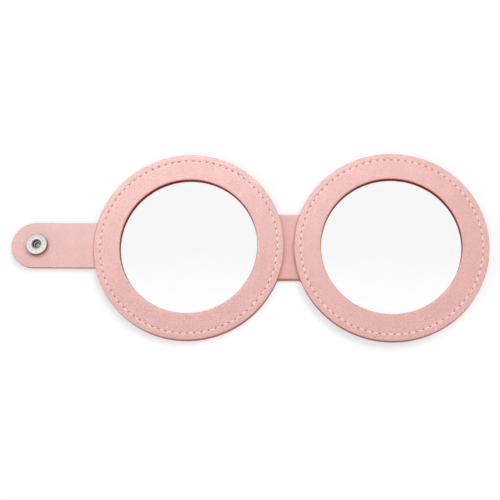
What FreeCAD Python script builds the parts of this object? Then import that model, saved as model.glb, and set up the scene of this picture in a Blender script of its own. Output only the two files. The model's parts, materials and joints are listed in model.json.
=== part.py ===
import FreeCAD, Part
import math
import operator
import os
from itertools import count
from types import SimpleNamespace

import Sketcher

# A folding compact mirror in leather, lying open. The left half lies flat, the right half leans on
# the snap stud on its back. The origin is the middle of the left half's back, +X runs to the right
# half and +Z is up. Lengths are in millimetres, angles in degrees.
SIZES = {
    # Round halves
    "disc_radius": 37.5,
    "rim_width": 10.4,
    "edge_round": 0.45,
    "window_round": 0.25,
    # Layers of a half
    "skin_thickness": 1.1,
    "lining_thickness": 1.0,
    "tape_thickness": 0.4,
    "glass_thickness": 1.2,
    "ring_thickness": 1.2,
    # Mirror and the spacer board round it
    "glass_lap": 1.6,
    "glass_clearance": 0.25,
    "glass_arris": 0.2,
    "tape_inset": 0.5,
    "board_inset": 0.15,
    "recess_clearance": 0.2,
    # Bridge between the halves
    "bridge_width": 26.8,
    "bridge_fillet": 1.5,
    "lining_inset": 0.4,
    "lining_tuck": 6.0,
    "fold_clearance": 0.1,
    "closed_gap": 0.3,
    # Seam
    "seam_inset": 2.5,
    "stitch_count": 79,
    "stitch_length": 1.85,
    "stitch_slope": 0.3,
    "thread_width": 0.6,
    "thread_rise": 0.15,
    "channel_width": 0.9,
    "channel_depth": 0.2,
    # Closure strap
    "strap_width": 18.3,
    "strap_tuck": 6.0,
    "strap_clearance": 0.3,
    "outer_ply": 0.7,
    "lining_ply": 0.7,
    "snap_inset": 10.55,
    "snap_clearance": 0.05,
    # Snap cap with its tubular post
    "cap_radius": 5.0,
    "cap_height": 1.3,
    "cap_dome": 0.5,
    "cap_rim": 0.45,
    "tube_radius": 1.5,
    "tube_bore": 1.0,
    "tube_clearance": 0.1,
    "flare_radius": 1.85,
    "flare_height": 0.35,
    # Snap socket and its spring ring
    "socket_radius": 4.2,
    "socket_height": 2.4,
    "socket_floor": 0.3,
    "socket_round": 0.5,
    "mouth_radius": 1.85,
    "mouth_lip": 0.3,
    "spring_radius": 1.72,
    "spring_wire": 0.22,
    "spring_clearance": 0.1,
    "spring_angle": 320,
    # Snap stud and its post
    "stud_flange_radius": 3.6,
    "stud_flange_height": 0.9,
    "stud_flange_round": 0.4,
    "stud_neck_radius": 1.4,
    "stud_neck_height": 0.95,
    "stud_shoulder": 0.12,
    "stud_head_radius": 1.7,
    "stud_head_height": 0.5,
    "stud_end_wall": 0.35,
    "pin_radius": 1.0,
    "pin_clearance": 0.05,
    "pin_hole_clearance": 0.1,
    "pin_end_gap": 0.15,
    "eyelet_radius": 2.6,
    "eyelet_height": 0.25,
    "eyelet_clearance": 0.4,
    "stud_margin": 0.95,
}

FULL_TURN = 360
TINY = 1e-4
OPERATIONS = {
    "+": operator.add,
    "-": operator.sub,
    "*": operator.mul,
    "/": operator.truediv,
}


class Size:
    """A number with the sheet expression that gives it, so that sums and products keep both."""

    def __init__(self, value, text):
        self.value = value
        self.text = text

    def __add__(self, other):
        return combined(self, "+", other)

    def __radd__(self, other):
        return combined(other, "+", self)

    def __sub__(self, other):
        return combined(self, "-", other)

    def __rsub__(self, other):
        return combined(other, "-", self)

    def __mul__(self, other):
        return combined(self, "*", other)

    def __rmul__(self, other):
        return combined(other, "*", self)

    def __truediv__(self, other):
        return combined(self, "/", other)

    def __neg__(self):
        return combined(0, "-", self)


def as_size(amount):
    return amount if isinstance(amount, Size) else Size(amount, f"({amount})")


def combined(left, sign, right):
    left = as_size(left)
    right = as_size(right)
    value = OPERATIONS[sign](left.value, right.value)
    return Size(value, f"({left.text} {sign} {right.text})")


def root(amount):
    return Size(math.sqrt(amount.value), f"sqrt({amount.text})")


def sine(angle):
    return Size(math.sin(math.radians(angle.value)), f"sin({angle.text})")


def cosine(angle):
    return Size(math.cos(math.radians(angle.value)), f"cos({angle.text})")


def arc_cosine(ratio):
    return Size(math.degrees(math.acos(ratio.value)), f"acos({ratio.text})")


def arc_tangent(ratio):
    return Size(math.degrees(math.atan(ratio.value)), f"atan({ratio.text})")


doc = FreeCAD.newDocument("CompactMirror")
sizes_sheet = doc.addObject("Spreadsheet::Sheet", "Sizes")
layout_sheet = doc.addObject("Spreadsheet::Sheet", "Layout")
layout_rows = count(1)
nodes = []


def set_cell(sheet, row, alias, text):
    sheet.set(f"A{row}", alias)
    sheet.set(f"B{row}", text)
    sheet.setAlias(f"B{row}", alias)


def driving_sizes():
    """Write the driving sizes into their sheet and return them by name."""
    for row, (alias, number) in enumerate(SIZES.items(), start=1):
        set_cell(sizes_sheet, row, alias, str(number))
    named = {alias: Size(number, f"Sizes.{alias}") for alias, number in SIZES.items()}
    return SimpleNamespace(**named)


def derived(alias, amount):
    """Keep a worked-out size in the layout sheet and return it under its name there."""
    set_cell(layout_sheet, next(layout_rows), alias, f"={amount.text}")
    return Size(amount.value, f"Layout.{alias}")


size = driving_sizes()

# Heights above a half's back face
lining_top = derived("lining_top", size.skin_thickness + size.lining_thickness)
tape_top = derived("tape_top", size.skin_thickness + size.tape_thickness)
ring_base = derived("ring_base", tape_top + size.glass_thickness)
front_face = derived("front_face", ring_base + size.ring_thickness)
channel_floor = derived("channel_floor", front_face - size.channel_depth)
strap_middle = derived("strap_middle", ring_base - size.lining_ply)
strap_base = derived("strap_base", strap_middle - size.outer_ply)

# Radii of a half
window_radius = derived("window_radius", size.disc_radius - size.rim_width)
glass_radius = derived("glass_radius", window_radius + size.glass_lap)
tape_radius = derived("tape_radius", glass_radius - size.tape_inset)
board_bore = derived("board_bore", glass_radius + size.glass_clearance)
board_radius = derived("board_radius", size.disc_radius - size.board_inset)
seam_radius = derived("seam_radius", size.disc_radius - size.seam_inset)

# The bridge folds along two lines at the lining's top. Its spine is as long as the stack that it
# wraps, so that the closed halves lie parallel with a small gap between their front faces.
fold_reach = derived("fold_reach", size.disc_radius + size.fold_clearance)
spine_length = derived("spine_length", 2 * (front_face - lining_top) + size.closed_gap)
far_fold = derived("far_fold", fold_reach + spine_length)
lining_width = derived("lining_width", size.bridge_width - 2 * size.lining_inset)
lining_start = derived("lining_start", size.disc_radius - size.lining_tuck)

# The stud stands as near to the rim as its post leaves a margin of tape. The strap folds at its top
# face, beside the left half and again above the closed right half. The riser between these lines
# brings the socket down on the stud's flange, and the flap is long enough to reach the stud.
eyelet_room = derived("eyelet_room", size.eyelet_radius + size.eyelet_clearance)
stud_place = derived("stud_place", tape_radius - size.stud_margin - eyelet_room)
closed_back = derived("closed_back", 2 * lining_top + spine_length)
riser_length = derived(
    "riser_length",
    closed_back + size.stud_flange_height + size.snap_clearance + size.socket_height - ring_base,
)
strap_root = derived("strap_root", size.disc_radius + size.strap_clearance)
strap_turn = derived("strap_turn", strap_root + riser_length)
strap_start = derived("strap_start", size.disc_radius - size.strap_tuck)
snap_place = derived("snap_place", strap_root + strap_turn - stud_place)
strap_end = derived("strap_end", snap_place + size.snap_inset)
tube_hole = derived("tube_hole", size.tube_radius + size.tube_clearance)

# The open right half leans on the stud.
stud_height = derived(
    "stud_height", size.stud_flange_height + size.stud_neck_height + size.stud_head_height
)
stud_tip_radius = derived("stud_tip_radius", size.stud_head_radius - size.stud_head_height)
stud_depth = derived("stud_depth", lining_top + stud_height)
stud_span = derived("stud_span", fold_reach + stud_place - stud_tip_radius)
stud_arm = derived("stud_arm", root(stud_span * stud_span + stud_depth * stud_depth))
lean = derived("lean", arc_cosine(lining_top / stud_arm) - arc_tangent(stud_span / stud_depth))
right_x = derived("right_x", far_fold + fold_reach * cosine(lean) + lining_top * sine(lean))
right_z = derived("right_z", lining_top + fold_reach * sine(lean) - lining_top * cosine(lean))
stud_x = derived("stud_x", right_x + stud_place * cosine(lean))
stud_z = derived("stud_z", right_z + stud_place * sine(lean))
doc.recompute()

# A half has the hinge on its +X or -X side, and its own place and lean.
LEFT = SimpleNamespace(name="left", hinge=1, place=None)
RIGHT = SimpleNamespace(name="right", hinge=-1, place=(right_x, right_z))


def bind(target, prop, amount):
    target.setExpression(prop, as_size(amount).text)


def set_place(node, x, z, leans=False):
    """Bind a node's place, and its lean about a line along Y where it belongs to the right half."""
    if leans:
        turn = FreeCAD.Rotation(FreeCAD.Vector(0, -1, 0), lean.value)
        node.Placement = FreeCAD.Placement(FreeCAD.Vector(), turn)
        bind(node, "Placement.Rotation.Angle", lean)
    bind(node, "Placement.Base.x", x)
    bind(node, "Placement.Base.z", z)


def new_body(label):
    body = doc.addObject("PartDesign::Body", label)
    body.Label = label
    nodes.append(body)
    return body


def half_body(half, piece):
    body = new_body(f"{half.name}_{piece}")
    if half.place:
        set_place(body, *half.place, leans=True)
    return body


def origin_part(body, role):
    return next(part for part in body.Origin.OriginFeatures if part.Role == role)


def new_sketch(body, name, plane, level):
    sketch = body.newObject("Sketcher::SketchObject", f"{body.Label}_{name}")
    sketch.AttachmentSupport = (origin_part(body, plane), [""])
    sketch.MapMode = "FlatFace"
    bind(sketch, "AttachmentOffset.Base.z", level)
    return sketch


def constrain(sketch, name, amount, kind, *where):
    number = sketch.addConstraint(Sketcher.Constraint(kind, *where, as_size(amount).value))
    sketch.renameConstraint(number, name)
    bind(sketch, f"Constraints.{name}", amount)


def arc_middle(start, end, radius):
    """Middle point of the counterclockwise arc of the given radius from start to end."""
    chord = end - start
    half_chord = chord.Length / 2
    drop = radius - math.sqrt(max(radius * radius - half_chord * half_chord, 0))
    outward = FreeCAD.Vector(chord.y, -chord.x, 0).normalize()
    return (start + end) * 0.5 + outward * drop


def outline(body, name, plane, corners, arcs=None, level=0):
    """Closed outline, counterclockwise. arcs gives the radius of each side that is round."""
    arcs = arcs or {}
    sketch = new_sketch(body, name, plane, level)
    corners = [(as_size(x), as_size(y)) for x, y in corners]
    points = [FreeCAD.Vector(x.value, y.value, 0) for x, y in corners]
    for side, start in enumerate(points):
        end = points[(side + 1) % len(points)]
        if side in arcs:
            curve = Part.Arc(start, arc_middle(start, end, arcs[side].value), end)
        else:
            curve = Part.LineSegment(start, end)
        sketch.addGeometry(curve, False)
    for side, (x, y) in enumerate(corners):
        following = (side + 1) % len(corners)
        sketch.addConstraint(Sketcher.Constraint("Coincident", side, 2, following, 1))
        constrain(sketch, f"across_{side}", x, "DistanceX", -1, 1, side, 1)
        constrain(sketch, f"along_{side}", y, "DistanceY", -1, 1, side, 1)
    for side, radius in arcs.items():
        constrain(sketch, f"round_{side}", radius, "Radius", side)
    return sketch


def rectangle(body, name, near, far, width, level):
    """Rectangle from near to far along X, centred on the X axis."""
    low, high = sorted((as_size(near), as_size(far)), key=lambda end: end.value)
    corners = [(low, -width / 2), (high, -width / 2), (high, width / 2), (low, width / 2)]
    return outline(body, name, "XY_Plane", corners, level=level)


def circles(body, name, radii, level, centre=0):
    """Concentric circles about a point on the X axis."""
    sketch = new_sketch(body, name, "XY_Plane", level)
    middle = FreeCAD.Vector(as_size(centre).value, 0, 0)
    for number, radius in enumerate(radii):
        circle = Part.Circle(middle, FreeCAD.Vector(0, 0, 1), radius.value)
        sketch.addGeometry(circle, False)
        constrain(sketch, f"radius_{number}", radius, "Radius", number)
        constrain(sketch, f"across_{number}", centre, "DistanceX", -1, 1, number, 3)
        constrain(sketch, f"along_{number}", 0, "DistanceY", -1, 1, number, 3)
    return sketch


def pad(body, sketch, length):
    feature = body.newObject("PartDesign::Pad", f"{sketch.Label}_pad")
    feature.Profile = sketch
    bind(feature, "Length", length)
    doc.recompute()
    return feature


def checked_cut(body, before):
    doc.recompute()
    if body.Shape.Volume > before - TINY:
        raise RuntimeError(f"{body.Label}: a cut removed nothing")


def pocket(body, sketch, depth):
    """Cut downwards from the sketch."""
    before = body.Shape.Volume
    feature = body.newObject("PartDesign::Pocket", f"{sketch.Label}_pocket")
    feature.Profile = sketch
    bind(feature, "Length", depth)
    checked_cut(body, before)


def revolve(body, sketch):
    feature = body.newObject("PartDesign::Revolution", f"{sketch.Label}_turned")
    feature.Profile = sketch
    feature.ReferenceAxis = (sketch, ["V_Axis"])
    feature.Angle = FULL_TURN
    doc.recompute()
    return feature


def ring_channel(body, floor, mouth):
    """Cut the stitch channel, from its floor to as far beyond the face as it is deep."""
    before = body.Shape.Volume
    inner = seam_radius - size.channel_width / 2
    outer = seam_radius + size.channel_width / 2
    low, high = sorted((floor, 2 * mouth - floor), key=lambda height: height.value)
    corners = [(inner, low), (outer, low), (outer, high), (inner, high)]
    sketch = outline(body, "channel", "XZ_Plane", corners)
    feature = body.newObject("PartDesign::Groove", f"{sketch.Label}_groove")
    feature.Profile = sketch
    feature.ReferenceAxis = (sketch, ["V_Axis"])
    feature.Angle = FULL_TURN
    checked_cut(body, before)


def dress(body, kind, base, chosen, prop, amount):
    """Fillet or chamfer the edges of base for which chosen is true."""
    names = [f"Edge{n}" for n, edge in enumerate(base.Shape.Edges, start=1) if chosen(edge)]
    if not names:
        raise RuntimeError(f"{body.Label}: no edge to dress")
    feature = body.newObject(f"PartDesign::{kind}", f"{body.Label}_{kind.lower()}")
    feature.Base = (base, names)
    bind(feature, prop, amount)
    doc.recompute()


def front_ring(half):
    """Leather ring round the mirror's window, rounded at both upper edges, with a stitch channel."""
    body = half_body(half, "front_ring")
    outer = size.disc_radius
    inner = window_radius
    corners = [
        (inner, ring_base),
        (outer, ring_base),
        (outer, front_face - size.edge_round),
        (outer - size.edge_round, front_face),
        (inner + size.window_round, front_face),
        (inner, front_face - size.window_round),
    ]
    arcs = {2: size.edge_round, 4: size.window_round}
    revolve(body, outline(body, "section", "XZ_Plane", corners, arcs))
    ring_channel(body, channel_floor, front_face)


def spacer_board(half):
    """Stiffener ring round the glass, cut away for the lining and, on the left, for the strap."""
    body = half_body(half, "spacer_board")
    ring = circles(body, "ring", [board_radius, board_bore], size.skin_thickness)
    pad(body, ring, ring_base - size.skin_thickness)
    side_room = 2 * size.recess_clearance
    recess = rectangle(
        body, "lining_recess",
        half.hinge * (lining_start - size.recess_clearance), half.hinge * fold_reach,
        lining_width + side_room, lining_top,
    )
    pocket(body, recess, size.lining_thickness)
    if half is LEFT:
        notch = rectangle(
            body, "strap_notch",
            -strap_root, size.recess_clearance - strap_start,
            size.strap_width + side_room, ring_base,
        )
        pocket(body, notch, ring_base - strap_base)


def mirror_glass(half):
    """Round glass, silvered on its back, with its upper edge ground off."""
    body = half_body(half, "mirror_glass")
    disc = pad(body, circles(body, "disc", [glass_radius], tape_top), size.glass_thickness)
    upper = ring_base.value - TINY
    dress(body, "Chamfer", disc, lambda edge: edge.BoundBox.ZMin > upper, "Size", size.glass_arris)


def mirror_tape(half):
    """Foam tape behind the glass, with room for the stud's post on the right."""
    body = half_body(half, "mirror_tape")
    disc = circles(body, "disc", [tape_radius], size.skin_thickness)
    pad(body, disc, size.tape_thickness)
    if half is RIGHT:
        hole = circles(body, "post_room", [eyelet_room], tape_top, centre=stud_place)
        pocket(body, hole, size.tape_thickness)


def back_panel(half):
    """Outer leather: a disc that runs on into the bridge as far as the fold line."""
    body = half_body(half, "back_panel")
    pad(body, circles(body, "disc", [size.disc_radius], 0), size.skin_thickness)
    tab = rectangle(
        body, "tab", half.hinge * lining_start, half.hinge * fold_reach, size.bridge_width, 0
    )
    joined = pad(body, tab, size.skin_thickness)

    def is_inner_corner(edge):
        box = edge.BoundBox
        upright = box.ZLength > size.skin_thickness.value - TINY
        on_tab = abs(max(abs(box.YMin), abs(box.YMax)) - size.bridge_width.value / 2) < TINY
        on_disc = abs(math.hypot(box.XMin, box.YMin) - size.disc_radius.value) < TINY
        return upright and on_tab and on_disc and box.XLength < TINY and box.YLength < TINY

    dress(body, "Fillet", joined, is_inner_corner, "Radius", size.bridge_fillet)
    ring_channel(body, size.channel_depth, as_size(0))
    if half is RIGHT:
        bore = size.pin_radius + size.pin_hole_clearance
        hole = circles(body, "post_hole", [bore], size.skin_thickness, centre=stud_place)
        pocket(body, hole, size.skin_thickness)


def stitch(body, name, base, crest):
    """One stitch at +X: a bar along Y whose ends slope from its base in the channel to its crest."""
    reach = size.stitch_length / 2
    short = reach - size.stitch_slope
    corners = [(-reach, base), (reach, base), (short, crest), (-short, crest)]
    sketch = outline(body, name, "YZ_Plane", corners, level=seam_radius - size.thread_width / 2)
    return pad(body, sketch, size.thread_width)


def seam_thread(half):
    """Stitches round the rim: the upper thread on the ring, the lower thread flush in the back."""
    body = half_body(half, "seam_thread")
    upper = stitch(body, "upper", channel_floor, front_face + size.thread_rise)
    lower = stitch(body, "lower", size.channel_depth, as_size(0))
    pattern = body.newObject("PartDesign::PolarPattern", f"{body.Label}_round")
    pattern.Originals = [upper, lower]
    pattern.Axis = (origin_part(body, "Z_Axis"), [""])
    pattern.Angle = FULL_TURN
    bind(pattern, "Occurrences", size.stitch_count)
    body.Tip = pattern
    doc.recompute()


def lining_tab(half):
    """End of the bridge lining, tucked under the ring."""
    body = half_body(half, "lining_tab")
    tab = rectangle(
        body, "tab", half.hinge * lining_start, half.hinge * fold_reach,
        lining_width, size.skin_thickness,
    )
    pad(body, tab, size.lining_thickness)


def bridge_piece(label, width, base, thickness):
    """Flat stretch of the bridge between its two fold lines."""
    body = new_body(label)
    pad(body, rectangle(body, "strip", fold_reach, far_fold, width, base), thickness)


def strap_strip(label, near, far, base, thickness):
    """Straight stretch of one strap ply, from near to far on the -X side."""
    body = new_body(label)
    pad(body, rectangle(body, "strip", -near, -far, size.strap_width, base), thickness)


def strap_flap(label, base, thickness):
    """Free end of one strap ply, with a half-round tip and the hole for the snap's tube."""
    body = new_body(label)
    half_width = size.strap_width / 2
    tip_start = half_width - strap_end
    corners = [
        (-strap_turn, half_width),
        (tip_start, half_width),
        (-strap_end, 0),
        (tip_start, -half_width),
        (-strap_turn, -half_width),
    ]
    arcs = {1: half_width, 2: half_width}
    pad(body, outline(body, "flap", "XY_Plane", corners, arcs, level=base), thickness)
    hole = circles(body, "tube_hole", [tube_hole], base + thickness, centre=-snap_place)
    pocket(body, hole, thickness)


def snap_cap():
    """Low dome on the strap's outer face. Its tube passes the strap and is flared in the socket."""
    body = new_body("snap_cap")
    set_place(body, -snap_place, strap_base - size.cap_height)
    dome_reach = size.cap_radius - size.cap_rim
    dome_radius = (dome_reach * dome_reach + size.cap_dome * size.cap_dome) / (2 * size.cap_dome)
    rim_top = size.cap_dome + size.cap_rim
    seat = size.cap_height + size.outer_ply + size.lining_ply + size.socket_floor
    corners = [
        (0, 0),
        (dome_reach, size.cap_dome),
        (size.cap_radius, rim_top),
        (size.cap_radius, size.cap_height),
        (size.tube_radius, size.cap_height),
        (size.tube_radius, seat),
        (size.flare_radius, seat),
        (size.flare_radius, seat + size.flare_height / 2),
        (size.tube_radius, seat + size.flare_height),
        (size.tube_bore, seat + size.flare_height / 2),
        (size.tube_bore, size.cap_height),
        (0, size.cap_height),
    ]
    arcs = {0: dome_radius, 1: size.cap_rim}
    revolve(body, outline(body, "section", "XZ_Plane", corners, arcs))


def snap_socket():
    """Pressed socket on the strap's inner face, with a rolled mouth and a chamber for the spring."""
    body = new_body("snap_socket")
    set_place(body, -snap_place, ring_base)
    outer = size.socket_radius
    height = size.socket_height
    chamber = size.spring_radius + size.spring_wire + size.spring_clearance
    corners = [
        (tube_hole, 0),
        (outer - size.socket_round, 0),
        (outer, size.socket_round),
        (outer, height - size.socket_round),
        (outer - size.socket_round, height),
        (size.mouth_radius + size.mouth_lip, height),
        (size.mouth_radius, height - size.mouth_lip),
        (chamber, height - size.mouth_lip),
        (chamber, size.socket_floor),
        (tube_hole, size.socket_floor),
    ]
    arcs = {1: size.socket_round, 3: size.socket_round, 5: size.mouth_lip}
    revolve(body, outline(body, "section", "XZ_Plane", corners, arcs))


def snap_spring():
    """Split wire ring under the socket's mouth. It grips the stud's neck."""
    ring = doc.addObject("Part::Torus", "snap_spring")
    ring.Label = "snap_spring"
    nodes.append(ring)
    bind(ring, "Radius1", size.spring_radius)
    bind(ring, "Radius2", size.spring_wire)
    bind(ring, "Angle3", size.spring_angle)
    drop = size.mouth_lip + size.spring_clearance / 2 + size.spring_wire
    set_place(ring, -snap_place, ring_base + size.socket_height - drop)


def snap_stud():
    """Turned stud on the right half's back: flange, neck and rounded head, bored for its post."""
    body = new_body("snap_stud")
    set_place(body, stud_x, stud_z, leans=True)
    head_top = size.stud_head_height - stud_height
    bore = size.pin_radius + size.pin_clearance
    bore_end = size.stud_end_wall - stud_height
    flange = size.stud_flange_radius
    corners = [
        (0, -stud_height),
        (stud_tip_radius, -stud_height),
        (size.stud_head_radius, head_top),
        (size.stud_neck_radius, head_top + size.stud_shoulder),
        (size.stud_neck_radius, -size.stud_flange_height),
        (flange - size.stud_flange_round, -size.stud_flange_height),
        (flange, size.stud_flange_round - size.stud_flange_height),
        (flange, 0),
        (bore, 0),
        (bore, bore_end),
        (0, bore_end),
    ]
    arcs = {1: size.stud_head_height, 5: size.stud_flange_round}
    revolve(body, outline(body, "section", "XZ_Plane", corners, arcs))


def snap_stud_post():
    """Rivet through the right back panel: a flat head inside and a pin in the stud's bore."""
    body = new_body("snap_stud_post")
    set_place(body, stud_x, stud_z, leans=True)
    pin_end = size.stud_end_wall + size.pin_end_gap - stud_height
    head_top = size.skin_thickness + size.eyelet_height
    corners = [
        (0, pin_end),
        (size.pin_radius, pin_end),
        (size.pin_radius, size.skin_thickness),
        (size.eyelet_radius, size.skin_thickness),
        (size.eyelet_radius, head_top),
        (0, head_top),
    ]
    revolve(body, outline(body, "section", "XZ_Plane", corners))


for side in (LEFT, RIGHT):
    front_ring(side)
    spacer_board(side)
    mirror_glass(side)
    mirror_tape(side)
    back_panel(side)
    seam_thread(side)
    lining_tab(side)

bridge_piece("bridge_skin", size.bridge_width, 0, size.skin_thickness)
bridge_piece("bridge_lining", lining_width, size.skin_thickness, size.lining_thickness)

for ply, ply_base, ply_thickness in (
    ("outer", strap_base, size.outer_ply),
    ("lining", strap_middle, size.lining_ply),
):
    strap_strip(f"strap_root_{ply}", strap_start, strap_root, ply_base, ply_thickness)
    strap_strip(f"strap_riser_{ply}", strap_root, strap_turn, ply_base, ply_thickness)
    strap_flap(f"strap_flap_{ply}", ply_base, ply_thickness)

snap_cap()
snap_socket()
snap_spring()
snap_stud()
snap_stud_post()

doc.recompute()
for item in doc.Objects:
    if {"Invalid", "Error"} & set(item.State):
        raise RuntimeError(f"{item.Label} failed to build")
for node in nodes:
    if node.Shape.isNull() or not node.Shape.isValid():
        raise RuntimeError(f"{node.Label} has no valid solid")

os.makedirs("parts", exist_ok=True)
for node in nodes:
    node.Shape.exportStep(f"parts/{node.Label}.step")
print(f"{len(nodes)} nodes, right half leans {lean.value:.3f} degrees on the stud")
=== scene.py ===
import json
import math

import bpy
import numpy as np
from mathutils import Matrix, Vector

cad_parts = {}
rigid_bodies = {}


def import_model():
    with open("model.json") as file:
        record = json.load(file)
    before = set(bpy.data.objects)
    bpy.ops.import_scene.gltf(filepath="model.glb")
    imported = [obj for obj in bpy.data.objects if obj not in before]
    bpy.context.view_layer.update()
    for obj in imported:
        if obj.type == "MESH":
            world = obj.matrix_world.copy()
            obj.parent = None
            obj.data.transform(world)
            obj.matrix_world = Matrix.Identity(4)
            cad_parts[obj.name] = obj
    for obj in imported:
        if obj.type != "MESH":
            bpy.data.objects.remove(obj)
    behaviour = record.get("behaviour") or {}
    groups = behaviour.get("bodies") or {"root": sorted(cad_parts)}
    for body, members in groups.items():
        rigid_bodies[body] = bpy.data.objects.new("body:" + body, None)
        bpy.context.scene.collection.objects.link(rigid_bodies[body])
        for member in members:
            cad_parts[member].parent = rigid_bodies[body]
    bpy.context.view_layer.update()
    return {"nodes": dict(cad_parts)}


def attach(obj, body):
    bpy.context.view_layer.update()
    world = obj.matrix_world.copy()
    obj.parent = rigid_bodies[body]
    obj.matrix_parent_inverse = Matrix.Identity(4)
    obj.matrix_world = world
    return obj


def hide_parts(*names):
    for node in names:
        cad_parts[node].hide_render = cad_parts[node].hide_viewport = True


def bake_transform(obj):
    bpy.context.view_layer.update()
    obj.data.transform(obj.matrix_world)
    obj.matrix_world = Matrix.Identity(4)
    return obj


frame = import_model()

MM = 0.001
TURN = 2 * math.pi

# Sizes in millimetres, in the part's frame: origin in the middle of the left half's back, +X to the
# right half, +Z up through the mirrors.
RIM = 37.5
WINDOW = 27.1
SKIN_TOP = 1.1
LINING_TOP = 2.1
GLASS_BACK, RING_BASE, FRONT = 2.0, 2.7, 3.9
GLASS = 28.7
NEAR_FOLD, FAR_FOLD = 37.6, 41.5
SPINE_MIDDLE = (NEAR_FOLD + FAR_FOLD) / 2
FOLD_REACH = 1.3
RIGHT_CENTRE = FAR_FOLD + NEAR_FOLD
LEAN = math.radians(2.2174399)
BRIDGE_HALF, LINING_HALF, BRIDGE_FILLET = 13.4, 13.0, 1.5
TUCK = 31.5
SEAM, STITCHES, STITCH_LENGTH = 35.0, 79, 1.85
PITCH = TURN / STITCHES
STRAP_HALF, STRAP_BASE, STRAP_MIDDLE, STRAP_TOP = 9.15, 1.3, 2.0, 2.7
STRAP_ROOT, STRAP_TURN, STRAP_END = -37.8, -46.55, -70.65
RISER_MIDDLE = (STRAP_ROOT + STRAP_TURN) / 2
SNAP, SNAP_HOLE, SOCKET_TOP = -60.1, 1.6, 5.1
STUD = RIGHT_CENTRE + 24.25


class Wire:
    """An output of a shader node in its tree. Sums and products of wires add Math nodes."""

    def __init__(self, tree, socket=None):
        self.tree = tree
        self.socket = socket

    def add(self, kind, settings, inputs, output=0):
        """Add a node: its settings first, then the values or links of its sockets."""
        node = self.tree.nodes.new(kind)
        for name, value in settings.items():
            setattr(node, name, value)
        for name, value in inputs.items():
            if isinstance(value, Wire):
                self.tree.links.new(value.socket, node.inputs[name])
            else:
                node.inputs[name].default_value = value
        return Wire(self.tree, None if output is None else node.outputs[output])

    def math(self, operation, *values):
        """A Math node of this operation on the values."""
        return self.add("ShaderNodeMath", {"operation": operation}, dict(enumerate(values)))

    def sine(self):
        """Sine of this angle in radians."""
        return self.math("SINE", self)

    def __add__(self, other):
        return self.math("ADD", self, other)

    __radd__ = __add__

    def __sub__(self, other):
        return self.math("SUBTRACT", self, other)

    def __rsub__(self, other):
        return self.math("SUBTRACT", other, self)

    def __mul__(self, other):
        return self.math("MULTIPLY", self, other)

    __rmul__ = __mul__

    def shift(self, offset):
        """This vector plus another."""
        return self.add("ShaderNodeVectorMath", {"operation": "ADD"}, {0: self, 1: offset})

    def stretch(self, factors):
        """This vector times another, axis by axis."""
        return self.add("ShaderNodeVectorMath", {"operation": "MULTIPLY"}, {0: self, 1: factors})

    def length(self):
        """Length of this vector."""
        return self.add("ShaderNodeVectorMath", {"operation": "LENGTH"}, {0: self}, "Value")

    def axis(self, name):
        """This vector's value on one axis."""
        return self.add("ShaderNodeSeparateXYZ", {}, {0: self}, name)

    def step(self, low, high):
        """0 below low, 1 above high and a smooth rise between."""
        return self.add(
            "ShaderNodeMapRange", {"interpolation_type": "SMOOTHSTEP"},
            {"Value": self, "From Min": low, "From Max": high},
        )

    def tint(self, first, second):
        """The first colour where this is 0, the second where it is 1."""
        settings = {"data_type": "RGBA", "clamp_factor": True}
        return self.add("ShaderNodeMix", settings, {0: self, 6: first, 7: second}, 2)

    def noise(self, scale, detail, output=0):
        """Cloudy noise on this place, with about scale clouds to a unit of length."""
        inputs = {"Vector": self, "Scale": scale, "Detail": detail}
        return self.add("ShaderNodeTexNoise", {}, inputs, output)

    def cells(self, scale, feature):
        """Irregular cells on this place, scale of them to a unit of length: the distance to their
        edge, or with F1 to their middle."""
        inputs = {"Vector": self, "Scale": scale}
        return self.add("ShaderNodeTexVoronoi", {"feature": feature}, inputs)

    def attribute(self, name, output="Fac"):
        """A value that the piece's mesh holds at each point."""
        return self.add("ShaderNodeAttribute", {"attribute_name": name}, {}, output)

    def object_place(self):
        """Place in the part's frame in metres. In the world it is the direction."""
        return self.add("ShaderNodeTexCoord", {}, {}, "Object")

    def relief(self, depth, strength):
        """Surface direction of this height, which is in shares of depth (metres)."""
        inputs = {"Height": self, "Distance": depth, "Strength": strength}
        return self.add("ShaderNodeBump", {}, inputs)


def new_material(name):
    """A material with one main shader. Returns it, a wire to add nodes with and a setter of the
    shader's sockets."""
    material = bpy.data.materials.new(name)
    material.use_nodes = True
    tree = material.node_tree
    tree.nodes.clear()
    shader = tree.nodes.new("ShaderNodeBsdfPrincipled")
    out = tree.nodes.new("ShaderNodeOutputMaterial")
    tree.links.new(shader.outputs[0], out.inputs["Surface"])

    def finish(**sockets):
        """Set or link the shader's sockets. An underscore stands for a space."""
        for name, value in sockets.items():
            socket = shader.inputs[name.replace("_", " ")]
            if isinstance(value, Wire):
                tree.links.new(value.socket, socket)
            else:
                socket.default_value = value

    return material, Wire(tree), finish


def shade(colour, factor):
    """The colour times a factor, with no channel above 1."""
    return tuple(min(factor * channel, 1) for channel in colour[:3]) + (1,)


def grey(level):
    """The colour whose three channels have this level."""
    return (level,) * 3 + (1,)


def edge_fibres(place):
    """Fibres of cut leather: noise that is drawn out to four times its size up and down the edge."""
    return place.stretch((1.0, 1.0, 0.25)).noise(3600, 3.0)


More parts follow.
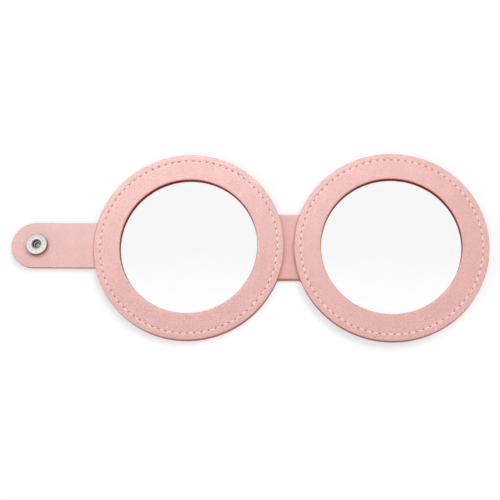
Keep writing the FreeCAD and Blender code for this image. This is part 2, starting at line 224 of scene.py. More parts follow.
def leather(name, hide, crease_and_shade, edge, pebble, depth):
    """Pebbled hide: rounded cells of about the pebble size with wavy creases between, finer wrinkles
    on them that rise by about the depth (mm), and a mottle of the dye.
    Where the mesh marks it, as on the lining over the bridge, it is painted darker as shade. Cut
    edges are dyed and show fibres, and needle holes are painted dark as shade."""
    material, wire, finish = new_material(name)
    place = wire.attribute("hide_place", "Vector")
    cut = wire.attribute("cut_edge")
    pierced = wire.attribute("pierced")
    wander = place.noise(1500, 2.0, "Color").shift((-0.5, -0.5, -0.5))
    grain = place.shift(wander.stretch((0.6 * MM,) * 3)).stretch((0.75, 1.1, 1.0))
    rim = grain.cells(1 / (pebble * MM), "DISTANCE_TO_EDGE")
    pebbles = rim.step(0.0, 0.5)
    wrinkles = grain.noise(2400, 3.0)
    pores = place.noise(6500, 2.0)
    mottle = place.noise(130, 3.0)
    fibres = edge_fibres(place)

    crease_mask = (1 - rim.step(0.0, 0.16)) * (0.5 + 0.5 * mottle)
    dyed = (mottle - 0.35).step(0.0, 0.4).tint(shade(hide, 0.95), shade(hide, 1.04))
    # The grain's creases take the crease colour, and so does painted shade where the mesh marks it.
    face = (crease_mask + wire.attribute("folded")).tint(dyed, crease_and_shade)
    rough_edge = fibres.step(0.35, 0.7).tint(shade(edge, 0.62), edge)
    faced = cut.step(0.25, 0.85).tint(face, rough_edge)
    # Needle holes are painted dark as shade.
    colour = pierced.step(0.2, 0.85).tint(faced, shade(edge, 0.22))
    height = (pebbles + 0.8 * wrinkles) * (1 - cut) + 0.2 * pores + fibres * cut
    finish(
        Base_Color=colour,
        Roughness=0.32 + 0.14 * pores + 0.35 * cut - 0.06 * pebbles,
        Specular_IOR_Level=0.55,
        Normal=height.relief(depth * MM, 0.5),
    )
    return material


def cut_edge(name, dye, dark):
    """Matt, dyed cut edge of leather: loose fibres that run up and down it, between the dark colour
    and the dye."""
    material, wire, finish = new_material(name)
    fibres = edge_fibres(wire.attribute("hide_place", "Vector"))
    finish(
        Base_Color=fibres.step(0.3, 0.7).tint(dark, dye),
        Roughness=0.85 + 0.1 * fibres,
        Specular_IOR_Level=0.06,
        Normal=fibres.relief(0.06 * MM, 0.6),
    )
    return material


def sewing_thread(name, strand, dark):
    """Two plies twisted together: ridges that run round the thread as they run along it. The dark
    colour between the ridges is painted shade.
    """
    material, wire, finish = new_material(name)
    along = wire.attribute("strand", "Vector")
    run, around = along.axis("X"), along.axis("Y")
    ridge = 0.5 + 0.5 * ((run * 1.7 + around * 2.0) * TURN).sine()
    fuzz = along.noise(9.0, 3.0)
    finish(
        Base_Color=(ridge * 0.7 + fuzz * 0.3).step(0.05, 0.6).tint(dark, strand),
        Roughness=0.42 + 0.2 * fuzz,
        Specular_IOR_Level=0.5,
        Normal=(ridge + 0.3 * fuzz).relief(0.05 * MM, 0.7),
    )
    return material


def board_edge(name, paint, core):
    """Pressed board whose edge is painted: thin plies along it, with fibres that the paint leaves
    rough."""
    material, wire, finish = new_material(name)
    place = wire.object_place()
    plies = place.stretch((0.12, 0.12, 1.0)).noise(5200, 2.0)
    fibres = place.noise(2600, 4.0)
    worn = (plies * 0.6 + fibres * 0.4).step(0.4, 0.62)
    finish(
        Base_Color=worn.tint(core, paint),
        Roughness=0.62 + 0.25 * fibres,
        Specular_IOR_Level=0.3,
        Normal=(plies + 0.5 * fibres).relief(0.06 * MM, 0.6),
    )
    return material


def nickel(name, plate, stain, gloss):
    """Plated brass: fine polishing marks, a faint cloud of tarnish and small pits. Where the mesh
    marks it, on the socket's side and inside the holes, it is rougher and painted dark as shade."""
    material, wire, finish = new_material(name)
    place = wire.object_place()
    cloud = place.noise(420, 3.0)
    marks = place.stretch((1.0, 0.06, 1.0)).noise(21000, 2.0)
    pits = 1 - place.cells(3800, "F1").step(0.05, 0.2)
    dull = wire.attribute("dull")
    plated = (cloud.step(0.45, 0.8) * 0.5 + pits * 0.2).tint(plate, stain)
    finish(
        Base_Color=dull.tint(plated, (0.10, 0.092, 0.088, 1)),
        Metallic=1.0,
        Roughness=gloss + 0.06 * cloud + 0.06 * marks + 0.25 * dull,
        Normal=(marks * 0.4 - pits).relief(0.012 * MM, 0.3),
    )
    return material


def clear_glass(name):
    """Float glass: clear, with a trace of green, and faintly wiped, so that its gloss varies a
    little."""
    material, wire, finish = new_material(name)
    wiped = wire.object_place().stretch((1.0, 0.3, 1.0)).noise(70, 3.0)
    finish(
        Base_Color=(0.998, 1.0, 0.999, 1),
        Roughness=0.006 * wiped,
        Transmission_Weight=1.0,
        IOR=1.5,
        Specular_IOR_Level=0.15,
    )
    return material


def silvering(name, silver):
    """Silver film on the back of the glass, with a faint cloud in its colour and gloss."""
    material, wire, finish = new_material(name)
    cloud = wire.object_place().noise(45, 2.0)
    finish(
        Base_Color=cloud.step(0.2, 0.8).tint(shade(silver, 0.985), silver),
        Metallic=1.0,
        Roughness=0.004 + 0.01 * cloud,
    )
    return material


def foam(name, pale, pore):
    """Closed-cell foam: round cells with thin walls."""
    material, wire, finish = new_material(name)
    walls = wire.object_place().cells(2600, "DISTANCE_TO_EDGE").step(0.0, 0.2)
    finish(
        Base_Color=walls.tint(pore, pale),
        Roughness=0.8 + 0.1 * walls,
        Normal=walls.relief(0.08 * MM, 0.6),
    )
    return material


EDGE = (0.64, 0.105, 0.112, 1)
LINING_EDGE = (0.74, 0.32, 0.30, 1)
FRONT_LEATHER = leather(
    "front_leather", (0.805, 0.445, 0.413, 1), (0.67, 0.305, 0.28, 1), EDGE,
    pebble=0.8, depth=0.075,
)
WINDOW_LIP = cut_edge("window_lip", (0.82, 0.12, 0.108, 1), (0.64, 0.075, 0.065, 1))
OUTER_LEATHER = leather(
    "outer_leather", (0.80, 0.44, 0.408, 1), (0.665, 0.30, 0.275, 1), EDGE,
    pebble=0.8, depth=0.075,
)
LINING_LEATHER = leather(
    "lining_leather", (0.81, 0.46, 0.43, 1), (0.69, 0.33, 0.30, 1), LINING_EDGE,
    pebble=0.6, depth=0.025,
)
THREAD = sewing_thread("seam_thread", (1.0, 0.77, 0.72, 1), (1.0, 0.65, 0.60, 1))
BOARD = board_edge("board_edge", (0.56, 0.11, 0.115, 1), (0.64, 0.22, 0.215, 1))
NICKEL = nickel("nickel_plate", (0.735, 0.72, 0.69, 1), (0.565, 0.55, 0.52, 1), gloss=0.1)
SPRING_STEEL = nickel("spring_steel", grey(0.30), (0.20, 0.195, 0.19, 1), gloss=0.24)
GLASS_FINISH = clear_glass("mirror_glass")
SILVER = silvering("mirror_silver", (0.945, 0.943, 0.944, 1))
FOAM = foam("foam_tape", (0.82, 0.82, 0.80, 1), (0.62, 0.62, 0.60, 1))


def grid_faces(rows, columns, wrap_rows=False, wrap_columns=False):
    """Quads between neighbouring rows and columns of a grid of points."""
    i, j = np.meshgrid(
        np.arange(rows if wrap_rows else rows - 1),
        np.arange(columns if wrap_columns else columns - 1), indexing="ij",
    )
    here, below, beside = i * columns, (i + 1) % rows * columns, (j + 1) % columns
    return np.stack([here + j, here + beside, below + beside, below + j], -1).reshape(-1, 4)


def end_fans(rows, columns):
    """Triangles that close a tube at both ends: the two points after those of its grid are joined to
    its first and its last row."""
    ring = np.arange(columns)
    beside, last = (ring + 1) % columns, (rows - 1) * columns
    point = np.full(columns, rows * columns)
    return np.concatenate([
        np.stack([point, beside, ring], -1),
        np.stack([last + ring, last + beside, point + 1], -1),
    ])


def enclosed(points, quads, triangles):
    """Six times the volume inside the faces: the sum of each triangle's triple product."""
    halves = np.concatenate([quads[:, [0, 1, 2]], quads[:, [0, 2, 3]], triangles])
    a, b, c = (points[halves[:, k]] for k in range(3))
    return float((a * np.cross(b, c)).sum())


def new_piece(name, points, quads, triangles=None, smooth=35, **attributes):
    """An object whose mesh has these points (mm) and faces, turned to face outwards."""
    triangles = np.zeros((0, 3), int) if triangles is None else triangles
    if enclosed(points - points.mean(0), quads, triangles) < 0:
        quads, triangles = quads[:, ::-1], triangles[:, ::-1]
    corners = np.concatenate([quads.ravel(), triangles.ravel()])
    totals = np.concatenate([np.full(len(quads), 4), np.full(len(triangles), 3)])
    mesh = bpy.data.meshes.new(name)
    mesh.vertices.add(len(points))
    mesh.vertices.foreach_set("co", (points * MM).astype(np.float32).ravel())
    mesh.loops.add(len(corners))
    mesh.loops.foreach_set("vertex_index", corners.astype(np.int32))
    mesh.polygons.add(len(totals))
    mesh.polygons.foreach_set("loop_start", (np.cumsum(totals) - totals).astype(np.int32))
    mesh.polygons.foreach_set("loop_total", totals.astype(np.int32))
    mesh.update(calc_edges=True)
    mesh.validate()
    mesh.shade_smooth()
    mesh.set_sharp_from_angle(angle=math.radians(smooth))
    for label, values in attributes.items():
        vector = np.ndim(values) == 2
        layer = mesh.attributes.new(label, "FLOAT_VECTOR" if vector else "FLOAT", "POINT")
        layer.data.foreach_set("vector" if vector else "value", np.ravel(values).astype(np.float32))
    piece = bpy.data.objects.new(name, mesh)
    bpy.context.scene.collection.objects.link(piece)
    return piece


def dressed(piece, material, slot, *nodes):
    """Give a piece its material and hide the CAD nodes that it stands for. slot is not used."""
    piece.data.materials.append(material)
    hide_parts(*nodes)
    return piece


def second_finish(piece, material, marked):
    """Give the marked faces of a piece another material."""
    piece.data.materials.append(material)
    piece.data.polygons.foreach_set("material_index", marked.astype(np.int32))


def step(t):
    """Smooth rise from 0 to 1: 3t^2 - 2t^3 on the clipped t."""
    t = np.clip(t, 0, 1)
    return t * t * (3 - 2 * t)


def leaned(points, share=1.0):
    """Points of the right half, drawn flat, turned by a share of the lean about the far fold line."""
    angle = LEAN * share
    x, z = points[..., 0] - FAR_FOLD, points[..., 2] - LINING_TOP
    turned = points.copy()
    turned[..., 0] = FAR_FOLD + x * np.cos(angle) - z * np.sin(angle)
    turned[..., 2] = LINING_TOP + x * np.sin(angle) + z * np.cos(angle)
    return turned


def arc(centre, radius, start, end, count):
    """Points on a circle from one angle to another, in degrees."""
    angles = np.radians(np.linspace(start, end, count))
    return np.array(centre) + radius * np.stack([np.cos(angles), np.sin(angles)], -1)


def turned_points(profile, columns):
    """A profile of (radius, height) carried round the Z axis: rows along it, columns round."""
    radius, height = np.asarray(profile, float).T
    angle = np.arange(columns) * TURN / columns
    return np.stack(np.broadcast_arrays(
        radius[:, None] * np.cos(angle), radius[:, None] * np.sin(angle), height[:, None]
    ), -1)


def seam_relief(points):
    """Height of the leather along the seam of a half whose middle is at the origin, and how far each
    point is inside a needle hole. The seam is sunk by a flat-topped bell across it, the holes lie
    between stitches as bells along and across it, and the leather swells a little on both sides."""
    x, y = points[..., 0], points[..., 1]
    off_seam = np.hypot(x, y) - SEAM
    turn = np.arctan2(y, x) / PITCH - 0.5
    along = (turn - np.round(turn)) * PITCH * SEAM
    hole_length, hole_width, hole_depth = 0.26, 0.24, 0.3
    holes = np.exp(-(along / hole_length) ** 2 - (off_seam / hole_width) ** 2)
    sunk = 0.02 * np.exp(-(off_seam / 0.42) ** 4) + hole_depth * holes
    swell = 0.015 * np.exp(-((np.abs(off_seam) - 0.95) / 0.45) ** 2)
    return swell - sunk, holes


def front_ring(name, node, centre, lay):
    """Ring round the window: base, outer wall, rounded edge, sewn face, rounded window edge and a
    lip that rises a little off the glass, carried round. The face waves by a few hundredths of a
    millimetre, as glued leather does."""
    shoulder, window_round, columns = 0.25, 0.45, 12 * STITCHES
    face = np.concatenate([
        np.linspace(RIM - shoulder, SEAM + 0.9, 5)[1:],
        np.linspace(SEAM + 0.8, SEAM - 0.8, 17),
        np.linspace(SEAM - 0.9, WINDOW + window_round, 12)[:-1],
    ])
    profile = np.concatenate([
        [(WINDOW, RING_BASE + 0.12), (WINDOW + 0.12, RING_BASE + 0.1), (WINDOW + 1.3, RING_BASE)],
        [(RIM - 1, RING_BASE), (RIM - 0.06, RING_BASE)],
        [(RIM, RING_BASE + 0.08), (RIM, RING_BASE + 0.45)],
        arc((RIM - shoulder, FRONT - shoulder), shoulder, 0, 90, 8),
        np.stack([face, np.full(len(face), FRONT)], -1),
        arc((WINDOW + window_round, FRONT - window_round), window_round, 90, 180, 7),
        [(WINDOW, RING_BASE + 0.5)],
    ])
    points = turned_points(profile, columns)
    angle = np.arange(columns) * TURN / columns
    height = (points[..., 2] - RING_BASE) / (FRONT - RING_BASE)
    relief, holes = seam_relief(points)
    sewn = height > 0.999
    waves = sum(
        size * np.sin(count * angle + start)
        for size, count, start in ((0.018, 3, 0.6), (0.014, 7, 2.1), (0.01, 13, 0.0))
    )
    points[..., 2] += waves * height + np.where(sewn, relief, 0)
    points[..., 0] += centre

    window_dye = 1 - step((height - 0.72) / 0.25)
    rim_dye = 0.9 * (1 - step((height - 0.25) / 0.5))
    cut = np.where(profile[:, :1] < WINDOW + 2, window_dye, rim_dye)
    cut[1:4] = 0  # The base between the lip and the rim has no dye.
    rows, place = len(profile), points.reshape(-1, 3)
    piece = new_piece(
        name, lay(place), grid_faces(rows, columns, True, True),
        hide_place=place * MM, cut_edge=cut.ravel(), pierced=np.where(sewn, holes, 0).ravel(),
    )
    dressed(piece, FRONT_LEATHER, "front_leather", node)
    # The lip takes the first two bands of faces, under it, and the last four, on the window's wall.
    band = np.arange(rows * columns) // columns
    second_finish(piece, WINDOW_LIP, (band < 2) | (band >= rows - 4))
    return piece


def tab_outline(angle):
    """Distance from a disc's middle to the edge of the disc and its half of the bridge, by angle: the
    end of the bridge, its side, a hollow fillet and the rim, each as the ray from the middle meets
    it. Also the angles of the three corners between them."""
    angle = np.abs((angle + math.pi) % TURN - math.pi)
    corner = math.atan2(BRIDGE_HALF, SPINE_MIDDLE)
    rise = BRIDGE_HALF + BRIDGE_FILLET
    run = math.sqrt((RIM + BRIDGE_FILLET) ** 2 - rise ** 2)
    leave, meet = math.atan2(BRIDGE_HALF, run), math.atan2(rise, run)
    reach = run * np.cos(angle) + rise * np.sin(angle)
    inside = np.maximum(reach ** 2 - (run ** 2 + rise ** 2) + BRIDGE_FILLET ** 2, 0)
    to_end, to_side = SPINE_MIDDLE / np.cos(angle), BRIDGE_HALF / np.maximum(np.sin(angle), 0.1)
    edge = np.select(
        [angle <= corner, angle <= leave, angle <= meet],
        [to_end, to_side, reach - np.sqrt(inside)], RIM,
    )
    return edge, np.array([corner, leave, meet])


def outer_skin(name, side, lay):
    """Outer leather of one half with its half of the bridge: rows step in from the outline, first on
    the lower face, then on the upper. Inside the margin they shrink to the middle, where each face
    closes in a point. The rim is rounded, apart from the end of the bridge, which is square because
    the other half's skin goes on there."""
    rays = 8 * STITCHES
    even = np.arange(rays) * TURN / rays
    corners = tab_outline(even)[1]
    marks = np.concatenate([corners, TURN - corners])
    near = np.abs(even[:, None] - marks).min(1) < 0.3 * TURN / rays
    angle = np.sort(np.concatenate([even[~near], marks]))
    edge = tab_outline(angle)[0]

    margin, low_round, top_round = 7.6, 0.2, 0.12
    low_shares, top_shares = [0.15, 0.4, 0.65, 0.82], [0.7, 0.4, 0.15]
    low_insets, top_insets = np.linspace(margin, low_round, 38), np.linspace(0.4, margin, 22)
    rim = np.concatenate([
        arc((low_round, low_round), low_round, 270, 180, 5)[1:],
        [(0, SKIN_TOP - top_round)],
        arc((top_round, SKIN_TOP - top_round), top_round, 180, 90, 4)[1:],
    ])
    low, top = len(low_shares) + len(low_insets), len(top_shares) + len(top_insets)
    inset = np.concatenate([
        np.full(len(low_shares), margin), low_insets, rim[:, 0],
        top_insets, np.full(len(top_shares), margin),
    ])
    share = np.ones((len(inset), 1))
    share[:len(low_shares), 0], share[-len(top_shares):, 0] = low_shares, top_shares
    height = np.concatenate([np.zeros(low), rim[:, 1], np.full(top, SKIN_TOP)])
    inset, height = (np.repeat(values[:, None], len(angle), 1) for values in (inset, height))
    end = (angle <= corners[0]) | (angle >= TURN - corners[0])
    inset[low:low + len(rim), end] = 0
    height[low, end] = 0

    radius = (edge - inset) * share
    points = np.stack([radius * np.cos(angle), radius * np.sin(angle), height], -1)
    relief, holes = seam_relief(points)
    sewn = np.arange(len(height))[:, None] < low
    points[..., 2] -= np.where(sewn, relief, 0)
    holes = np.where(sewn, holes, 0)
    cut = step((height - 0.02) / 0.15) * step((SKIN_TOP - 0.02 - height) / 0.1)
    place = np.concatenate([points.reshape(-1, 3), [(0, 0, 0), (0, 0, SKIN_TOP)]])
    place[:, 0] = place[:, 0] * side + (0 if side > 0 else RIGHT_CENTRE)
    return new_piece(
        name, lay(place), grid_faces(*radius.shape, False, True), end_fans(*radius.shape),
        hide_place=place * MM, cut_edge=np.append(cut.ravel(), [0, 0]),
        pierced=np.append(holes.ravel(), [0, 0]),
    )


def slab(name, plan, base, top, soft, lay, around=False, folded=0.0):
    """A flat sheet on a plan: its grid of points and their distance from the soft edge. Both faces
    fall off by a quarter circle on that distance, whose radii soft gives for the lower and the upper
    face. A plan that runs around a hole has a wall inside and a wall outside."""
    x, y, from_edge = plan
    dye_width = 0.12

    def fall(radius):
        """How much lower a face is near the edge: radius - sqrt(radius^2 - (radius - distance)^2)."""
        return radius - np.sqrt(radius ** 2 - (radius - np.clip(from_edge, 0, radius)) ** 2)

    upper = np.stack([x, y, top - fall(soft[1])], -1)
    lower = np.stack([x, y, base + fall(soft[0])], -1)
    rows, columns = x.shape
    count = rows * columns
    faces = grid_faces(rows, columns, False, around)
    across, last = np.arange(columns), (rows - 1) * columns
    if around:
        rims = [across, last + across[::-1]]
    else:
        down = np.arange(rows - 1) * columns
        rims = [np.concatenate([
            across[:-1], down + columns - 1, last + across[:0:-1], down[::-1] + columns,
        ])]
    walls = [
        np.stack([rim, np.roll(rim, -1), np.roll(rim, -1) + count, rim + count], -1)
        for rim in rims
    ]
    quads = np.concatenate([faces[:, ::-1], faces + count, *walls])
    place = np.concatenate([upper.reshape(-1, 3), lower.reshape(-1, 3)])
    cut = 1 - step(np.tile(from_edge.ravel(), 2) / dye_width)
    # Every point of the sheet takes the same painted shade.
    return new_piece(
        name, lay(place), quads,
        hide_place=place * MM, cut_edge=cut, folded=np.full(2 * count, folded),
    )


def straight(near, far, half_width):
    """Plan of a strip with square ends: columns at half_width * sin, rows even from near to far."""
    rows, columns = 61, 49
    y = half_width * np.sin(np.linspace(-0.5, 0.5, columns) * math.pi)
    x, y = np.meshgrid(np.linspace(near, far, rows), y, indexing="ij")
    return x, y, half_width - np.abs(y)


def flap_plan():
    """Plan of the strap's free end round the snap's hole. Rays from the hole run to the outline: the
    joint with the riser, the sides, or the half circle of the tip, whichever a ray meets first."""
    rings, rays, tiny = 72, 240, 1e-6
    middle = STRAP_END + STRAP_HALF
    marks = np.arctan2(STRAP_HALF, np.array([RISER_MIDDLE, middle]) - SNAP)
    even = np.linspace(-math.pi, math.pi, rays, endpoint=False)
    angle = np.sort(np.concatenate([even, marks, -marks]))
    ahead, beside = np.cos(angle), np.sin(angle)
    to_side = STRAP_HALF / np.maximum(np.abs(beside), tiny)
    to_joint = np.where(ahead > tiny, (RISER_MIDDLE - SNAP) / np.maximum(ahead, tiny), np.inf)
    offset = SNAP - middle
    to_tip = np.sqrt(STRAP_HALF ** 2 - (offset * beside) ** 2) - offset * ahead
    reach = np.where(offset + to_side * ahead < 0, to_tip, np.minimum(to_side, to_joint))
    way = np.sin(np.linspace(0, 0.5, rings) * math.pi)
    radius = SNAP_HOLE + (reach - SNAP_HOLE) * way[:, None]
    x, y = SNAP + radius * ahead, radius * beside
    return x, y, STRAP_HALF - np.where(x < middle, np.hypot(x - middle, y), np.abs(y))


def flat(points):
    """Points of the left half and the strap, which lie as they are drawn."""
    return points


def bent(points):
    """The lean of the right half, taken up smoothly across the far fold line."""
    share = step((points[:, 0] - FAR_FOLD + FOLD_REACH) / (2 * FOLD_REACH))
    return leaned(points, share)


def seam_thread(name, node, centre, lay, seed):
    """Stitches round the rim. Each is a tube along the seam whose height falls off with the fourth
    power of the way to its ends, so that both ends dive into the needle holes. The lower thread lies
    in the back, level with it. Lengths, slants and places differ a little."""
    sides, stations, half_width = 8, 9, 0.33
    dice = np.random.default_rng(seed)
    way = np.sin(np.linspace(-0.5, 0.5, stations) * math.pi)
    around = np.arange(sides) * TURN / sides
    thick = 0.55 + 0.45 * np.sqrt(1 - np.abs(way[:, None]) ** 3)

    def varied(spread):
        """A random number round 0 for each stitch."""
        return spread * dice.standard_normal(STITCHES)

    def row(crest, dive, half_height):
        """One stitch per pitch: its points, and for each point the way along the thread and round
        it, for the twist. The thread's middle is at crest, and dive lower at its ends."""
        length = (STITCH_LENGTH / 2 + 0.1) * (1 + varied(0.05))
        slant = math.radians(3.5) + varied(0.03)
        off = varied(0.035)
        turn = np.arange(STITCHES) * PITCH + varied(0.0006)
        run = way * length[:, None]
        side = off[:, None] + run * np.sin(slant)[:, None]
        radius = SEAM + side[..., None] + half_width * thick * np.cos(around)
        angle = turn[:, None, None] + run[..., None] / SEAM
        up = (crest - dive * way ** 4)[:, None] + half_height * thick * np.sin(around)
        body = np.stack(np.broadcast_arrays(
            radius * np.cos(angle), radius * np.sin(angle), up
        ), -1)
        twist = np.stack(np.broadcast_arrays(
            run[..., None], around / TURN, (turn * 10)[:, None, None]
        ), -1)
        tips, tip_twist = body[:, [0, -1]].mean(2), twist[:, [0, -1], 0]
        points = np.concatenate([body.reshape(STITCHES, -1, 3), tips], 1)
        return points, np.concatenate([twist.reshape(STITCHES, -1, 3), tip_twist], 1)

    front = row(crest=FRONT - 0.06, dive=0.35, half_height=0.2)
    back = row(crest=0.11, dive=-0.35, half_height=0.11)
    points, strand = (np.concatenate(both).reshape(-1, 3) for both in zip(front, back))
    starts = np.arange(2 * STITCHES)[:, None, None] * (stations * sides + 2)
    quads = (grid_faces(stations, sides, False, True) + starts).reshape(-1, 4)
    triangles = (end_fans(stations, sides) + starts).reshape(-1, 3)
    points[:, 0] += centre
    piece = new_piece(name, lay(points), quads, triangles, smooth=80, strand=strand)
    return dressed(piece, THREAD, "thread", node)


def turned_piece(
    name, profile, centre, lay, columns, closed=False, carve=None, dull=None, smooth=35
):
    """A profile of (radius, height) carried round an upright axis. An open profile starts and ends on
    the axis, where it closes in a point. dull says how much painted shade each row takes."""
    rim = np.asarray(profile if closed else profile[1:-1], float)
    points = turned_points(rim, columns)
    if carve:
        points = carve(points)
    place, triangles = points.reshape(-1, 3), None
    dull = np.zeros(len(profile)) if dull is None else dull
    if closed:
        dulled = np.repeat(dull, columns)
    else:
        place = np.concatenate([place, [(0, 0, profile[0][1]), (0, 0, profile[-1][1])]])
        triangles = end_fans(len(rim), columns)
        dulled = np.append(np.repeat(dull[1:-1], columns), dull[[0, -1]])
    return new_piece(
        name, lay(place + np.array([centre, 0, 0])), grid_faces(len(rim), columns, closed, True),
        triangles, smooth, dull=dulled,
    )


def mirror(name, node, centre, lay):
    """Round glass with its upper edge ground off, silvered on its lower face."""
    ground, columns = 0.2, 192
    profile = [
        (0, GLASS_BACK), (GLASS / 2, GLASS_BACK), (GLASS, GLASS_BACK), (GLASS, RING_BASE - ground),
        (GLASS - ground, RING_BASE), (GLASS / 2, RING_BASE), (0, RING_BASE),
    ]
    piece = turned_piece(name, profile, centre, lay, columns, smooth=20)
    dressed(piece, GLASS_FINISH, "mirror_glass", node)
    # The lower face is the first of four bands of quads and the first fan, which comes after them.
    band = np.arange(len(piece.data.polygons)) // columns
    second_finish(piece, SILVER, (band == 0) | (band == 4))
    return piece


def dimples(points):
    """Twelve shallow round dents in the socket's face: a bell of the distance to the nearest one."""
    dents, ring, spread, depth = 12, 3.15, 0.2, 0.16
    radius = np.hypot(points[..., 0], points[..., 1])
    turn = np.arctan2(points[..., 1], points[..., 0]) / TURN * dents
    along = (turn - np.round(turn)) / dents * TURN * ring
    dent = depth * np.exp(-(along / spread) ** 2 - ((radius - ring) / spread) ** 2)
    points[..., 2] -= dent * (points[..., 2] > SOCKET_TOP - 0.2)
    return points


def shaded_profile(*runs):
    """Runs of (radius, height) points joined end to end, and how much painted shade each point takes.
    """
    profile = np.concatenate([run for run, _ in runs])
    return profile, np.concatenate([np.full(len(run), dull) for run, dull in runs])


def snap_socket():
    """Pressed socket: a side painted dark as shade, rolled rim, a face that bulges by a sine across
    it and has a ring of dents and a low ridge, a rolled mouth and the chamber behind it, which is
    also painted dark as shade."""
    base, top, bed = STRAP_TOP, SOCKET_TOP, STRAP_TOP + 0.3
    outer, foot_round, rim_round, mouth_round = 4.2, 0.4, 0.38, 0.18
    edge, mouth, chamber, crown = 3.8, 2.07, 2.04, 0.06
    reach = np.linspace(edge, mouth, 24)
    bulge = np.sin((edge - reach) / (edge - mouth) * math.pi)
    ridge = 0.02 * np.exp(-((reach - 2.45) / 0.09) ** 2)
    side = np.concatenate([
        [(SNAP_HOLE, base), (2.6, base)],
        arc((outer - foot_round, base + foot_round), foot_round, 270, 360, 6),
        [(outer, top - 0.5)],
    ])
    face = np.concatenate([
        arc((outer - rim_round, top - crown - rim_round), rim_round, 0, 88, 8),
        np.stack([reach, top - crown * (1 - bulge) + ridge], -1),
        arc((2.05, top - crown - mouth_round), mouth_round, 88, 150, 4),
    ])
    inside = [
        (1.87, top - 0.26), (chamber, top - 0.4), (chamber, base + 0.9),
        (chamber, bed), (SNAP_HOLE, bed),
    ]
    # The side and the inside take painted shade; the face takes none.
    profile, dull = shaded_profile((side, 0.8), (face, 0.0), (inside, 0.75))
    return turned_piece(
        "snap_socket_metal", profile, SNAP, flat,
        columns=240, closed=True, carve=dimples, dull=dull,
    )


def snap_cap():
    """Low dome under the strap, a part of a sphere, with a rolled rim, and the tube whose end is
    rolled inside the socket."""
    edge, rise, rim_round, roll = 4.55, 0.5, 0.45, 0.24
    outer, tube, bore, seat = edge + rim_round, 1.5, 1.0, STRAP_TOP + 0.3
    dome = edge ** 2 / (2 * rise) + rise / 2
    reach = np.linspace(0, 4.4, 16)
    # The tube's side and the bore take painted shade.
    profile, dull = shaded_profile(
        (np.stack([reach, dome - np.sqrt(dome ** 2 - reach ** 2)], -1), 0.0),
        (arc((edge, rise + rim_round), rim_round, -80, 0, 7)[1:], 0.0),
        ([(outer, STRAP_BASE - 0.1), (outer - 0.1, STRAP_BASE)], 0.0),
        ([(tube, STRAP_BASE), (tube, seat)], 0.8),
        (arc((SNAP_HOLE - roll, seat + 0.1), roll, -20, 180, 10), 0.0),
        ([(bore, seat - 0.1), (bore, STRAP_BASE), (0, STRAP_BASE)], 0.4),
    )
    return turned_piece("snap_cap_metal", profile, SNAP, flat, columns=120, dull=dull)


def snap_stud():
    """Turned stud below the right back panel: rounded head, neck and flange, with a bore for the
    post."""
    tip, head_round, neck, bore = -2.35, 0.5, 1.4, 1.05
    flange, flange_round, flange_level = 3.6, 0.4, -0.9
    profile = np.concatenate([
        [(0, tip), (0.7, tip)],
        arc((1.2, tip + head_round), head_round, 270, 360, 7),
        [(1.68, -1.76), (neck, -1.62), (neck, -1.02)],
        arc((1.55, -1.05), 0.15, 170, 90, 4),
        [(2.4, -0.92), (3.0, flange_level)],
        arc((flange - flange_round, flange_level + flange_round), flange_round, 270, 360, 6),
        [(flange, 0), (bore, 0), (bore, -2.0), (0, -2.0)],
    ])
    return turned_piece("snap_stud_metal", profile, STUD, leaned, columns=96)


def seen_directly(wire):
    """Three wires: 1 for rays from the camera, for those off glossy surfaces and for those out of
    glass."""
    kinds = ("Is Camera Ray", "Is Glossy Ray", "Is Transmission Ray")
    return [wire.add("ShaderNodeLightPath", {}, {}, kind) for kind in kinds]


def white_floor():
    """A white floor that keeps the object's shadow. What is seen directly also glows, more so far
    away, where the lamps are weak."""
    half_width, level = 1500.0, -0.03
    material, wire, finish = new_material("floor_white")
    camera, glossy, through = seen_directly(wire)
    glow = wire.object_place().length().step(0.25, 1.0).tint(grey(0.56), grey(1))
    finish(
        Base_Color=grey(0.5), Roughness=1.0, Specular_IOR_Level=0.0,
        Emission_Color=(camera + glossy + through).tint(grey(0), glow), Emission_Strength=1.0,
    )
    corners = half_width * np.array([(-1, -1, 0), (1, -1, 0), (1, 1, 0), (-1, 1, 0)])
    corners[:, 2] = level
    mesh = bpy.data.meshes.new("floor")
    mesh.from_pydata((corners * MM).tolist(), [], [(0, 1, 2, 3)])
    mesh.materials.append(material)
    floor = bpy.data.objects.new("floor", mesh)
    bpy.context.scene.collection.objects.link(floor)


def white_room():
    """A room that is bright overhead and dim near the horizon, with a level of its own for plain
    light, for metal and for what the mirrors show. The camera sees it white."""
    world = bpy.data.worlds.new("white_room")
    bpy.context.scene.world = world
    world.use_nodes = True
    world.node_tree.nodes.clear()
    wire = Wire(world.node_tree)
    camera, glossy, through = seen_directly(wire)
    direction = wire.object_place()
    ahead, overhead = direction.axis("Y"), direction.axis("Z").step(0.35, 0.85)
    fill = overhead.tint((0.225, 0.225, 0.23, 1), (0.68, 0.68, 0.685, 1))
    above = ahead.step(0.0, 0.6).tint(grey(1.3), grey(0.8))
    room = overhead.tint((0.3, 0.3, 0.305, 1), above)
    ceiling = ahead.step(0.18, 0.27).tint(grey(1.075), grey(0.987))
    mirrored = overhead.tint((0.72, 0.72, 0.725, 1), ceiling)
    light = camera.tint(through.tint(glossy.tint(fill, room), mirrored), grey(1))
    backdrop = wire.add("ShaderNodeBackground", {}, {"Color": light, "Strength": 1.0})
    wire.add("ShaderNodeOutputWorld", {}, {"Surface": backdrop}, None)


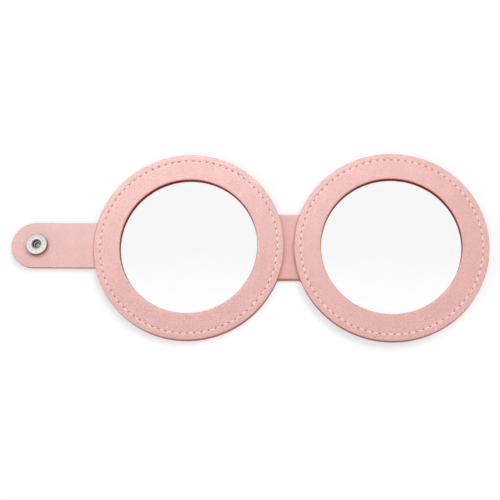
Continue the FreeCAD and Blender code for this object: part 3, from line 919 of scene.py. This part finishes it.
def studio_lamps(hides):
    """A soft key lamp from the right and a weak one from the near left that only light, and a panel
    behind the object that only lends the hides sheen. The mirrors show none of them."""
    aim = Vector((0.02, 0, 0))
    for name, place, size, energy, sheen in (
        ("key_lamp", (0.48, 0.33, 0.97), (0.54, 0.54), 5.2, False),
        ("fill_lamp", (-0.8, -0.8, 0.8), (0.96, 0.96), 3.1, False),
        ("sheen_panel", (-0.07, 0.28, 0.45), (0.44, 0.14), 3.0, True),
    ):
        lamp = bpy.data.lights.new(name, "AREA")
        lamp.shape = "RECTANGLE"
        lamp.size, lamp.size_y = size
        lamp.energy = energy
        box = bpy.data.objects.new(name, lamp)
        box.location = place
        box.rotation_euler = (aim - box.location).to_track_quat("-Z", "Y").to_euler()
        box.visible_camera = box.visible_transmission = False
        box.visible_glossy, box.visible_diffuse = sheen, not sheen
        if sheen:
            box.light_linking.receiver_collection = hides
        bpy.context.scene.collection.objects.link(box)


def photo_camera():
    """The camera, where the photograph's stood: its place in metres, its turn and its lens."""
    lens = bpy.data.cameras.new("camera")
    lens.sensor_width = 36.0
    lens.lens = 72
    lens.clip_start = 0.01
    viewer = bpy.data.objects.new("camera", lens)
    viewer.location = (0.04483, -0.10281, 0.38088)
    viewer.rotation_mode = "ZXY"
    viewer.rotation_euler = [math.radians(a) for a in (14.9691, 3.1144, 1.0875)]
    bpy.context.scene.collection.objects.link(viewer)
    bpy.context.scene.camera = viewer
    bpy.context.scene.view_settings.view_transform = "Standard"


for side, centre, lay, seed in (("left", 0.0, flat, 11), ("right", RIGHT_CENTRE, leaned, 23)):
    for piece in (
        front_ring(f"{side}_ring_leather", f"{side}_front_ring", centre, lay),
        seam_thread(f"{side}_stitches", f"{side}_seam_thread", centre, lay, seed),
        mirror(f"{side}_mirror", f"{side}_mirror_glass", centre, lay),
    ):
        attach(piece, f"{side}_half")

# The skins and linings over the bridge meet midway between its two fold lines.
# lining_shade is painted shade: the linings show only over the bridge, in the recess between the
# discs.
lining_soft, lining_shade = (0.1, 0.25), 0.38
left_skin = dressed(
    outer_skin("left_skin", 1, flat), OUTER_LEATHER, "outer_leather", "left_back_panel", "bridge_skin"
)
right_skin = dressed(
    outer_skin("right_skin", -1, bent), OUTER_LEATHER, "outer_leather", "right_back_panel"
)
left_lining = dressed(
    slab(
        "left_lining", straight(TUCK, SPINE_MIDDLE, LINING_HALF),
        SKIN_TOP, LINING_TOP, lining_soft, flat, folded=lining_shade,
    ),
    LINING_LEATHER, "lining_leather", "left_lining_tab", "bridge_lining",
)
right_lining = dressed(
    slab(
        "right_lining", straight(SPINE_MIDDLE, RIGHT_CENTRE - TUCK, LINING_HALF),
        SKIN_TOP, LINING_TOP, lining_soft, bent, folded=lining_shade,
    ),
    LINING_LEATHER, "lining_leather", "right_lining_tab",
)
for piece in (left_skin, left_lining):
    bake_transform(piece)
for piece in (right_skin, right_lining):
    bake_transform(piece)

# The strap's plies come in two pieces, which meet in the middle of the riser.
for ply, base, top, soft, finish in (
    ("outer", STRAP_BASE, STRAP_MIDDLE, (0.25, 0.08), OUTER_LEATHER),
    ("lining", STRAP_MIDDLE, STRAP_TOP, (0.08, 0.25), LINING_LEATHER),
):
    slot = f"{ply}_leather"
    root_plan = straight(-TUCK, RISER_MIDDLE, STRAP_HALF)
    root = dressed(
        slab(f"strap_root_{ply}_leather", root_plan, base, top, soft, flat),
        finish, slot, f"strap_root_{ply}", f"strap_riser_{ply}",
    )
    flap = dressed(
        slab(f"strap_flap_{ply}_leather", flap_plan(), base, top, soft, flat, around=True),
        finish, slot, f"strap_flap_{ply}",
    )
    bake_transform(root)
    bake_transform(flap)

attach(dressed(snap_socket(), NICKEL, "nickel", "snap_socket"), "strap_flap")
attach(dressed(snap_cap(), NICKEL, "nickel", "snap_cap"), "strap_flap")
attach(dressed(snap_stud(), NICKEL, "nickel", "snap_stud"), "right_half")

# These solids keep the CAD shape and take a finish alone.
for material, names in (
    (BOARD, ("left_spacer_board", "right_spacer_board")),
    (FOAM, ("left_mirror_tape", "right_mirror_tape")),
    (SPRING_STEEL, ("snap_spring",)),
    (NICKEL, ("snap_stud_post",)),
):
    for name in names:
        solid = frame["nodes"][name]
        solid.data.materials.clear()
        solid.data.materials.append(material)

# The sheen panel lights the leathers and the thread alone.
satin = {FRONT_LEATHER, OUTER_LEATHER, LINING_LEATHER, THREAD}
hides = bpy.data.collections.new("hides")
for thing in bpy.context.scene.objects:
    if thing.type == "MESH" and satin & set(thing.data.materials):
        hides.objects.link(thing)

white_floor()
white_room()
studio_lamps(hides)
photo_camera()
